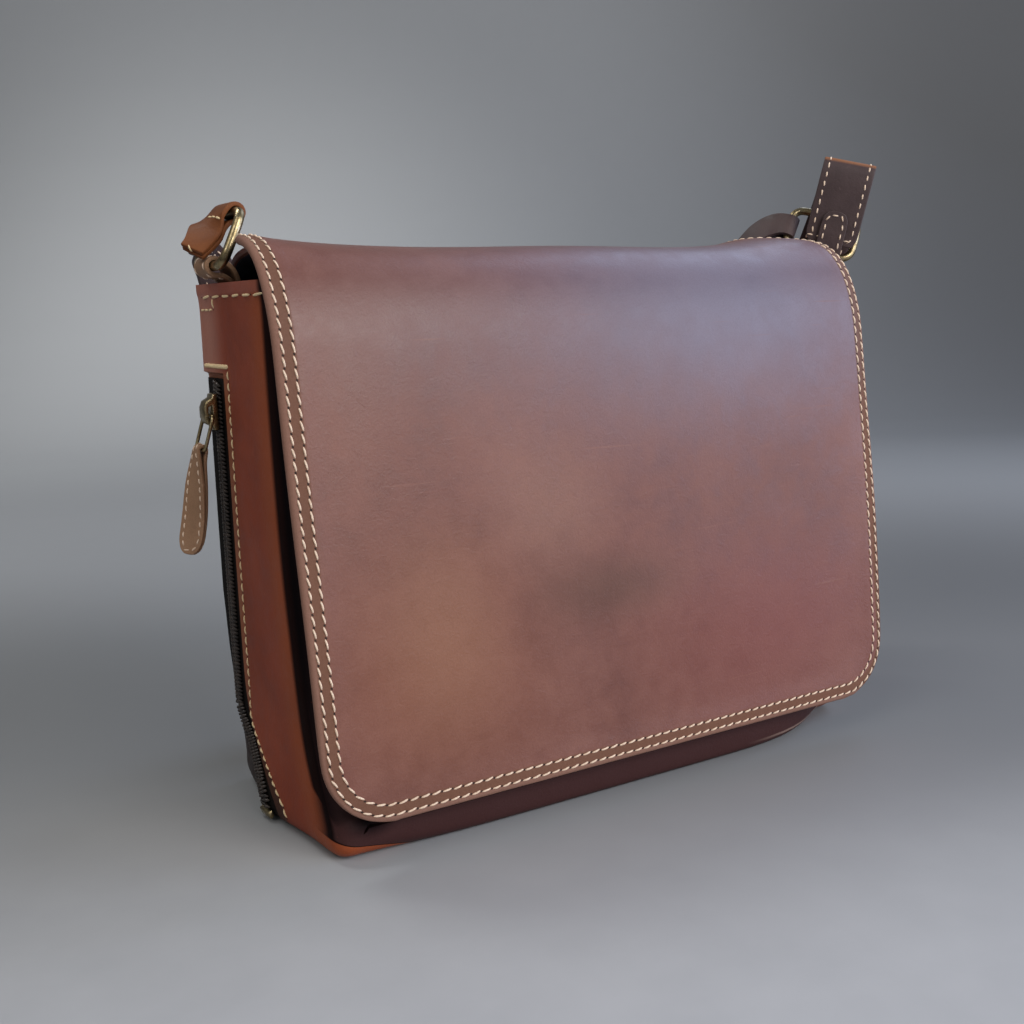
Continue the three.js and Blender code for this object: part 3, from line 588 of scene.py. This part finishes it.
def soft_copy(node, ending, material, bevel=0.5, levels=2, lined=None, swell=0.0, reshape=None):
    """A smooth piece in place of a faceted node: its sharp edges rounded, its faces subdivided.

    lined tells which faces are lining, swell makes the piece fuller, and reshape moves its corners.
    """
    name = node + ending
    shape = paired(node)
    if reshape:
        for vert in shape.verts:
            vert.co = reshape(vert.co / MM) * MM
    mesh = bpy.data.meshes.new(name)
    if lined:
        for face in shape.faces:
            face.material_index = 1 if lined(face) else 0
    shape.to_mesh(mesh)
    shape.free()
    thing = add_object(name, mesh, material)
    if lined:
        mesh.materials.append(lining)
    if bevel:
        rounding = thing.modifiers.new("rounding", "BEVEL")
        rounding.width = bevel * MM
        rounding.segments = 2
        rounding.limit_method = "ANGLE"
        rounding.angle_limit = math.radians(BEVEL_ANGLE)
    if swell:
        fuller = thing.modifiers.new("fuller", "DISPLACE")
        fuller.strength = swell * MM
        fuller.mid_level = 0.0
    if levels:
        finer = thing.modifiers.new("finer", "SUBSURF")
        finer.levels = levels
        finer.render_levels = levels
    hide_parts(node)
    return thing


def faces_in(face):
    """Whether a face looks into the bag, so that it is lining."""
    toward = INSIDE - face.calc_center_median()
    toward.z /= 2
    return face.normal.dot(toward) > 0


def gusset_faces_in(face):
    """As faces_in, but the cut edges of the turned-in leather are not lined."""
    middle = face.calc_center_median() / MM
    cut = abs(middle.x) < CUT_EDGE_X and middle.z > CUT_EDGE_Z and abs(face.normal.y) < 0.8
    return not cut and faces_in(face)


# The left tongue's free end: middle, direction across it and direction back to the ring
TONGUE_END = Vector((-152, 26.6, 229))
TONGUE_ACROSS = Vector((-0.4, 0.7, 0.6)).normalized()
TONGUE_UP = Vector((12.5, 2.9, 10)).normalized()
TONGUE_HALF_WIDTH = 7
TONGUE_NARROWED = 13
TONGUE_NARROWING = 0.3


def straighter(point):
    """Narrows the tongue's free end, so that its edges run side by side."""
    near_end = 1 - smooth(0, TONGUE_NARROWED, (point - TONGUE_END).dot(TONGUE_UP))
    from_edge = (point - TONGUE_END).dot(TONGUE_ACROSS) + TONGUE_HALF_WIDTH
    return point - TONGUE_ACROSS * (TONGUE_NARROWING * near_end * from_edge)


flap = soft_copy("flap", "_leather", flap_leather, bevel=0.8, lined=faces_in)
gusset = soft_copy(
    "gusset", "_leather", gusset_leather, bevel=0.7, lined=gusset_faces_in
)
soft_copy("front_panel", "_leather", panel_leather, lined=faces_in)
soft_copy("back_panel", "_leather", flap_leather, lined=faces_in)
strap = soft_copy("shoulder_strap", "_leather", strap_leather, bevel=0.6)
tab_left = soft_copy("ring_tab_left", "_leather", tab_leather)
soft_copy("ring_tab_right", "_leather", strap_leather)
tongue_left = soft_copy("ring_tongue_left", "_leather", tan_leather, reshape=straighter)
tongue_right = soft_copy("strap_tongue_right", "_leather", strap_leather)
pull = soft_copy("zipper_pull", "_leather", tab_leather, bevel=0.4)
for wire_node, fuller_by in (("ring_left", 0.2), ("ring_right", 0.2), ("zipper_link", 0.08)):
    soft_copy(wire_node, "_brass", brass, bevel=0, swell=fuller_by)
for plain_node in ("zipper_slider", "zipper_stop"):
    soft_copy(plain_node, "_brass", brass, bevel=0.35, levels=0)
tape_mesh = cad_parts["zipper_tape"].data
tape_mesh.materials.clear()
tape_mesh.materials.append(woven_tape())

depsgraph = bpy.context.evaluated_depsgraph_get()


def surface_of(thing):
    depsgraph.update()
    return BVHTree.FromObject(thing, depsgraph)


def land(surface, point, inward, reach):
    """Where a line from outside, through a point and on inward, meets a surface: place and normal."""
    toward = inward.normalized()
    place, normal, _, _ = surface.ray_cast(point - toward * reach, toward, reach * 2)
    if place is None:
        return None
    return place, normal if normal.dot(toward) < 0 else -normal


def kept(spots):
    return [spot for spot in spots if spot]


def resample(row, pitch):
    """Places along a row of (place, normal), one pitch apart: (place, normal, along)."""
    out = []
    left = pitch / 2
    for (a, na), (b, nb) in zip(row, row[1:]):
        step = (b - a).length
        if step < 1e-9:
            continue
        way = left
        while way <= step:
            share = way / step
            out.append((a.lerp(b, share), na.lerp(nb, share).normalized(), (b - a).normalized()))
            way += pitch
        left = way - step
    return out


# A stitch's rings: place along its half length and how fat it is there
BEAD_RINGS = [(-1.0, 0.0), (-0.86, 0.62), (-0.45, 0.95), (0.0, 1.0), (0.45, 0.95), (0.86, 0.62), (1.0, 0.0)]
BEAD_SIDES = 6
BEAD_RISE = 0.45
BEAD_DIP = 0.75
STITCH_SINK = 0.1
STITCH_TURN = 4
STITCH_GROWTH = (0.94, 1.05)
SPOT_SIDES = 8
SPOT_SIZE = (1.1, 0.65)
SPOT_RISE = 0.06


def around(sides):
    """Cosine and sine of evenly spaced angles round a circle."""
    angles = [2 * math.pi * k / sides for k in range(sides)]
    return [(math.cos(angle), math.sin(angle)) for angle in angles]


def add_bead(shape, place, along, up, size, sink):
    """A small rounded stitch with its ends sunk into the leather; size is length, width and height."""
    length, width, height = size
    side = up.cross(along).normalized()
    rows = []
    for share, fat in BEAD_RINGS:
        lift = height * (BEAD_RISE - BEAD_DIP * share * share) - sink
        middle = place + along * (share * length / 2) + up * lift
        if fat == 0:
            rows.append([shape.verts.new(middle)])
            continue
        ring = []
        for cosine, sine in around(BEAD_SIDES):
            offset = side * (cosine * width / 2 * fat) + up * (sine * height / 2 * fat)
            ring.append(shape.verts.new(middle + offset))
        rows.append(ring)
    for low, high in zip(rows, rows[1:]):
        for k in range(BEAD_SIDES):
            after = (k + 1) % BEAD_SIDES
            if len(low) == 1:
                shape.faces.new((low[0], high[k], high[after]))
            elif len(high) == 1:
                shape.faces.new((low[k], high[0], low[after]))
            else:
                shape.faces.new((low[k], high[k], high[after], low[after]))


def add_spot(shape, place, along, up):
    """A flat dark needle hole, just above the leather."""
    length, width = (s * MM for s in SPOT_SIZE)
    side = up.cross(along).normalized()
    ring = []
    for cosine, sine in around(SPOT_SIDES):
        offset = along * (cosine * length / 2) + side * (sine * width / 2)
        ring.append(shape.verts.new(place + offset + up * (SPOT_RISE * MM)))
    shape.faces.new(ring)


def finish_mesh(name, shape, material):
    mesh = bpy.data.meshes.new(name)
    bmesh.ops.recalc_face_normals(shape, faces=shape.faces)
    shape.to_mesh(mesh)
    shape.free()
    return add_object(name, mesh, material)


def sew(name, rows, material, kind=ROW_STITCH, tilt=11, holes=True):
    """Stitches along rows of (place, normal), each turned by the tilt in degrees, a little unevenly."""
    chance = random.Random(name)
    pitch, size = kind
    length, width, height = (s * MM for s in size)
    shape = bmesh.new()
    spots = bmesh.new()
    for row in rows:
        for place, up, along in resample(row, pitch * MM):
            turned_by = math.radians(tilt + chance.uniform(-STITCH_TURN, STITCH_TURN))
            turn = Matrix.Rotation(turned_by, 3, up)
            direction = (turn @ along).normalized()
            grown = length * chance.uniform(*STITCH_GROWTH)
            add_bead(shape, place, direction, up, (grown, width, height), STITCH_SINK * MM)
            if holes:
                add_spot(spots, place + along * (pitch * MM / 2), turn @ turn @ turn @ along, up)
    finish_mesh(name, shape, material)
    if holes:
        finish_mesh(name + "_holes", spots, needle_hole)
    else:
        spots.free()


# The flap's stitches: two rows round its sides and front edge, and two across its rear end
def flap_guide():
    """A function from the way along the flap's side view to (y, z, outward), and the whole way."""
    lengths = [0.0]
    for (y0, z0), (y1, z1) in zip(FLAP_SIDE, FLAP_SIDE[1:]):
        lengths.append(lengths[-1] + math.hypot(y1 - y0, z1 - z0))

    def at(way):
        way = min(max(way, 0.0), lengths[-1] - 1e-6)
        k = max(i for i, length in enumerate(lengths[:-1]) if length <= way)
        share = (way - lengths[k]) / (lengths[k + 1] - lengths[k])
        (y0, z0), (y1, z1) = FLAP_SIDE[k], FLAP_SIDE[k + 1]
        slope = Vector((0, y1 - y0, z1 - z0)).normalized()
        return mix(y0, y1, share), mix(z0, z1, share), Vector((0, -slope.z, slope.y))

    return at, lengths[-1]


flap_at, FLAP_LENGTH = flap_guide()
flap_surface = surface_of(flap)


def flap_half_width(way):
    front_half = mix(FLAP_HALF_WIDTH - FLAP_NARROWING, FLAP_HALF_WIDTH, smooth(*FLAP_WIDENING, way))
    top_half = mix(front_half, FLAP_TOP_HALF_WIDTH, smooth(*FLAP_TOP_TURN, way))
    return mix(top_half, FLAP_REAR_HALF_WIDTH, smooth(*FLAP_REAR_TURN, way))


def flap_row(inset):
    """(x, way) along the flap's edge, that far in from it."""
    corner = flap_half_width(0) - FLAP_RADIUS
    radius = FLAP_RADIUS - inset
    half_row = [(inset - flap_half_width(w), w) for w in range(int(FLAP_LENGTH) - 12, FLAP_RADIUS, -3)]
    for degrees in range(0, 91, 6):
        angle = math.radians(degrees)
        half_row.append((-corner - radius * math.cos(angle), FLAP_RADIUS - radius * math.sin(angle)))
    bottom = [(x, inset) for x in range(-int(corner) + 3, int(corner), 3)]
    return half_row + bottom + [(-x, w) for x, w in reversed(half_row)]


def on_flap(x, way):
    y, z, out = flap_at(way)
    to_right = max(0.0, x / flap_half_width(way))
    squeeze = FLAP_RIGHT_SQUEEZE * to_right * (1 - smooth(*FLAP_SQUEEZED, way))
    return land(flap_surface, Vector((x - squeeze, y, z)) * MM, -out, FLAP_REACH)


edge_rows = [kept([on_flap(x, way) for x, way in flap_row(inset)]) for inset in FLAP_ROWS]
rear_rows = [kept([on_flap(x, FLAP_LENGTH - inset) for x in FLAP_REAR_X]) for inset in FLAP_REAR_ROWS]
sew("flap_stitches", edge_rows, cream_thread)
sew("flap_rear_stitches", rear_rows, cream_thread)


# The gusset's stitches: hem, zip border and the box below the ring tab
gusset_surface = surface_of(gusset)


def on_side(y, z, sign=-1):
    point = Vector((sign * HALF_WIDTH, y, z)) * MM
    return land(gusset_surface, point, Vector((-sign, 0, 0)), SIDE_REACH)


zip_row = kept([on_side(ZIP_ROW_Y + sweep(z), z) for z in ZIP_ROW_Z])
zip_bar = kept([on_side(y, ZIP_TOP_Z + ZIP_BAR_RISE) for y in range(ZIP_BAR_REAR_Y, ZIP_ROW_Y - 1, -1)])
hem_rows = [kept([on_side(y, HEM_STITCH_Z, sign) for y in HEM_STITCH_Y]) for sign in (-1, 1)]
box_side = kept([on_side(BOX_SIDE_Y, z) for z in BOX_SIDE_Z])
box_foot = kept([on_side(y, BOX_FOOT_Z) for y in BOX_FOOT_Y])
sew("zip_stitches", [zip_row], gold_thread, tilt=6)
sew("zip_top_stitches", [zip_bar], gold_thread, BAR_STITCH, tilt=22, holes=False)
sew("hem_stitches", hem_rows, gold_thread, HEM_STITCH, tilt=3)
sew("box_stitches", [box_side, box_foot], gold_thread, BOX_STITCH, tilt=3)


# Rows along the edges of the straps and tabs
def rim_faces(shape, thickness):
    """The narrow faces round a strip's edge, found by the edges that cross its thickness."""

    def through(edge):
        if abs(edge.calc_length() - thickness * MM) > 0.22 * thickness * MM:
            return False
        line = (edge.verts[1].co - edge.verts[0].co).normalized()
        faces = [f for v in edge.verts for f in v.link_faces if edge not in f.edges]
        return max((abs(f.normal.dot(line)) for f in faces), default=0) > 0.9

    return {f for e in shape.edges if through(e) for f in e.link_faces}


def chains_of(edges):
    """The edges joined end to end: a list of corners for each chain."""
    links = {}
    for edge in edges:
        for vert in edge.verts:
            links.setdefault(vert, []).append(edge)
    chains = []
    unused = dict.fromkeys(edges)
    while unused:
        edge = next(iter(unused))
        del unused[edge]
        chain = [edge.verts[0], edge.verts[1]]
        while True:
            onward = [e for e in links[chain[-1]] if e in unused]
            if not onward:
                break
            del unused[onward[0]]
            chain.append(onward[0].other_vert(chain[-1]))
        chains.append(chain)
    return chains


def inset_row(chain, rim, inset):
    """(place, normal) for each corner of a closed chain, set in from the edge on the strip's broad face."""
    count = len(chain) - 1 if chain[0] is chain[-1] else len(chain)
    row = []
    for i in range(count):
        vert = chain[i]
        along = (chain[(i + 1) % count].co - chain[i - 1].co).normalized()
        broad = [f for f in vert.link_faces if f not in rim]
        if not broad:
            continue
        normal = sum((f.normal * f.calc_area() for f in broad), Vector()).normalized()
        inward = normal.cross(along).normalized()
        middle = sum((f.calc_center_median() for f in broad), Vector()) / len(broad)
        if inward.dot(middle - vert.co) < 0:
            inward = -inward
        row.append((vert.co + inward * (inset * MM), normal))
    return row + row[:1]


def row_length(row):
    return sum((b - a).length for (a, _), (b, _) in zip(row, row[1:]))


def rim_rows(node, thickness, inset):
    """Closed rows of (place, normal), set in from the edge of a strip's faces, the longest row first."""
    shape = joined(node)
    bmesh.ops.recalc_face_normals(shape, faces=shape.faces)
    rim = rim_faces(shape, thickness)
    border = [e for e in shape.edges if len([f for f in e.link_faces if f in rim]) == 1]
    rows = [inset_row(chain, rim, inset) for chain in chains_of(border) if len(chain) >= 6]
    shape.free()
    return sorted(rows, key=row_length, reverse=True)


def sew_edges(node, thing, thickness, inset, faces=1, kind=EDGE_STITCH):
    """Stitches along the edge of a strip, on its longer face or on both faces."""
    surface = surface_of(thing)
    landed = []
    for row in rim_rows(node, thickness, inset)[:faces]:
        landed.append([land(surface, place, -up, EDGE_REACH) or (place, up) for place, up in row])
    sew(node + "_stitches", landed, cream_thread, kind, tilt=5, holes=False)


sew_edges("shoulder_strap", strap, thickness=2.8, inset=3, faces=2)
sew_edges("ring_tab_left", tab_left, thickness=2, inset=2.2)
sew_edges("strap_tongue_right", tongue_right, thickness=2, inset=2.2)
sew_edges("zipper_pull", pull, thickness=1.5, inset=1.8, kind=PULL_STITCH)


# Two rows across the left tongue: middle, direction across, width
TONGUE_FACE = Vector((-0.38, -0.68, 0.54))
TONGUE_ROWS = [
    (TONGUE_END - TONGUE_ACROSS * 2.1, TONGUE_ACROSS, 8.4),
    (Vector((-139.5, 29.5, 239)), Vector((0, 1, 0)), 15),
]
tongue_surface = surface_of(tongue_left)
tongue_rows = []
for middle, across, width in TONGUE_ROWS:
    shares = [k / 10 - 0.5 for k in range(11)]
    places = [middle + across.normalized() * (share * width) for share in shares]
    spots = [land(tongue_surface, place * MM, -TONGUE_FACE, TONGUE_REACH) for place in places]
    tongue_rows.append(kept(spots))
sew("ring_tongue_left_stitches", tongue_rows, gold_thread, TONGUE_STITCH, tilt=4, holes=False)


# The zip's coil: two rows of small loops that mesh
COIL_PITCH = 1.7
COIL_SIZE = Vector((4.0, 1.5, 1.5))
COIL_SINK = 1.1
COIL_OUT = 1.6
COIL_LEAN = 0.45


def zip_line():
    """(place, normal) down the middle of the teeth, with the normals evened out."""
    surface = surface_of(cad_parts["zipper_teeth"])
    spots = []
    for height in range(int(ZIP_TOP_Z) - 2, 5, -2):
        point = Vector((-HALF_WIDTH, TEETH_Y + sweep(height), height)) * MM
        spots.append(land(surface, point, Vector((1, 0, 0)), SIDE_REACH))
    spots = kept(spots)
    ups = [up for _, up in spots]
    evened = [sum(ups[max(0, k - 3) : k + 4], Vector()).normalized() for k in range(len(ups))]
    return [(place, up) for (place, _), up in zip(spots, evened)]


coil = bmesh.new()
coil_line = resample(zip_line(), COIL_PITCH * MM)
for side in (-1, 1):
    for place, up, along in coil_line:
        across = up.cross(along).normalized() * side
        middle = place + across * (COIL_OUT * MM) + along * (side * COIL_PITCH * MM / 4)
        direction = (across + along * (COIL_LEAN * side)).normalized()
        add_bead(coil, middle, direction, up, COIL_SIZE * MM, COIL_SINK * MM)
zip_coil = finish_mesh("zip_coil", coil, coil_material())
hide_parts("zipper_teeth")


# Stage: a pale floor that rises into a backdrop, in metres, turned to face the camera
STAGE_FRONT = -3.0
STAGE_BEND = 1.2
STAGE_RADIUS = 0.8
STAGE_HEIGHT = 4.0
STAGE_HALF_WIDTH = 4.0
STAGE_TURN = -31.5
STAGE_BACK = (0.522, 0.853, 0.0)
# Painted shade on the floor and backdrop behind the bag
STAGE_BACK_PAINTED_SHADE = (0.22, 0.225, 0.23)

# Broad tints of the stage: centre, reach, colour, amount. Painted shade on the floor right and left of the
# bag, a painted pool of light far behind and painted shade far to the right
STAGE_PAINTED_LIGHT_AND_SHADE = [
    ((450, 80, 0), (520, 480, 320), (0.1, 0.102, 0.105), 0.8),
    ((-330, 260, 0), (380, 420, 250), (0.1, 0.103, 0.1), 0.6),
    ((200, 1600, 350), (1000, 900, 700), (0.6, 0.61, 0.61), 0.9),
    ((1600, 800, 650), (1000, 1000, 1500), (0.07, 0.07, 0.072), 0.95),
]


def stage_material():
    """Pale paper, with painted shade beside and behind the bag and toward the right, and a painted pool of
    light far behind.
    """
    n = Nodes("stage_paper")
    colour = n.ramp(n.noise(30, 3), TWO_STOPS, PAPER_SHADES)
    back = n.vector("DOT_PRODUCT", n.place, STAGE_BACK).outputs["Value"]
    colour = n.tint(colour, n.rise(back, -0.25, 0.0), STAGE_BACK_PAINTED_SHADE, 0.9)
    n.look(Base_Color=n.cloud_tints(colour, STAGE_PAINTED_LIGHT_AND_SHADE), Roughness=0.8)
    return n.material


def add_stage():
    profile = [(STAGE_FRONT, 0.0), (STAGE_BEND, 0.0)]
    for degrees in range(10, 91, 10):
        angle = math.radians(degrees)
        rise = STAGE_RADIUS * (1 - math.cos(angle))
        profile.append((STAGE_BEND + STAGE_RADIUS * math.sin(angle), rise))
    profile.append((STAGE_BEND + STAGE_RADIUS, STAGE_HEIGHT))
    shape = bmesh.new()
    turn = Matrix.Rotation(math.radians(STAGE_TURN), 3, "Z")
    rows = []
    for y, z in profile:
        ends = (-STAGE_HALF_WIDTH, STAGE_HALF_WIDTH)
        rows.append([shape.verts.new(turn @ Vector((x, y, z))) for x in ends])
    for low, high in zip(rows, rows[1:]):
        shape.faces.new((low[0], low[1], high[1], high[0]))
    mesh = bpy.data.meshes.new("stage")
    shape.to_mesh(mesh)
    shape.free()
    thing = link_smooth("stage", mesh, stage_material())


add_stage()

# Lights: name, place, target, size, power, colour
LIGHTS = [
    ("key", (0.3, -1.9, 1.1), (0, 0, 0.1), 1.4, 33, (1.0, 0.97, 0.93)),
    ("sheen", (1.3, -1.1, 0.55), (0, 0, 0.15), 1.2, 14, (0.66, 0.75, 1.0)),
    ("sky", (1.3, 0.4, 1.35), (0, 0, 0.2), 1.2, 8, (0.62, 0.74, 1.0)),
    ("fill", (-1.2, -0.5, 1.2), (0, 0, 0.1), 1.0, 5, (1.0, 0.95, 0.88)),
    ("wash", (-0.4, 0.6, 1.3), (0.45, 1.6, 0.4), 0.7, 13, (1.0, 1.0, 0.98)),
]
ROOM_COLOUR = (0.62, 0.65, 0.7, 1)
ROOM_STRENGTH = 0.22


def add_light(name, place, target, size, power, colour):
    data = bpy.data.lights.new(name, "AREA")
    data.shape = "DISK"
    data.size = size
    data.energy = power
    data.color = colour
    thing = bpy.data.objects.new(name, data)
    thing.location = place
    thing.rotation_euler = (Vector(target) - Vector(place)).to_track_quat("-Z", "Y").to_euler()
    scene.collection.objects.link(thing)


for light in LIGHTS:
    add_light(*light)

world = bpy.data.worlds.new("room")
world.use_nodes = True
background = world.node_tree.nodes["Background"]
background.inputs["Color"].default_value = ROOM_COLOUR
background.inputs["Strength"].default_value = ROOM_STRENGTH
scene.world = world
scene.view_settings.view_transform = "Standard"

# Camera at the photograph's place, in millimetres, with its azimuth, elevation and roll in degrees
CAMERA_PLACE = Vector((-298.60, -451.03, 204.18))
CAMERA_ANGLES = (-31.489, 9.843, -1.582)
CAMERA_SENSOR = 36
CAMERA_LENS = 42.19


def add_camera():
    data = bpy.data.cameras.new("camera")
    data.sensor_width = CAMERA_SENSOR
    data.lens = CAMERA_LENS
    thing = bpy.data.objects.new("camera", data)
    azimuth, elevation, roll = (math.radians(d) for d in CAMERA_ANGLES)
    level = Vector((math.sin(azimuth), -math.cos(azimuth), 0))
    back_way = level * math.cos(elevation) + Vector((0, 0, math.sin(elevation)))
    right_way = (-back_way).cross(Vector((0, 0, 1))).normalized()
    up_way = right_way.cross(-back_way)
    right_rolled = right_way * math.cos(roll) + up_way * math.sin(roll)
    up_rolled = up_way * math.cos(roll) - right_way * math.sin(roll)
    turned = Matrix((right_rolled, up_rolled, back_way)).transposed().to_4x4()
    thing.matrix_world = Matrix.Translation(CAMERA_PLACE * MM) @ turned
    scene.collection.objects.link(thing)
    scene.camera = thing


add_camera()
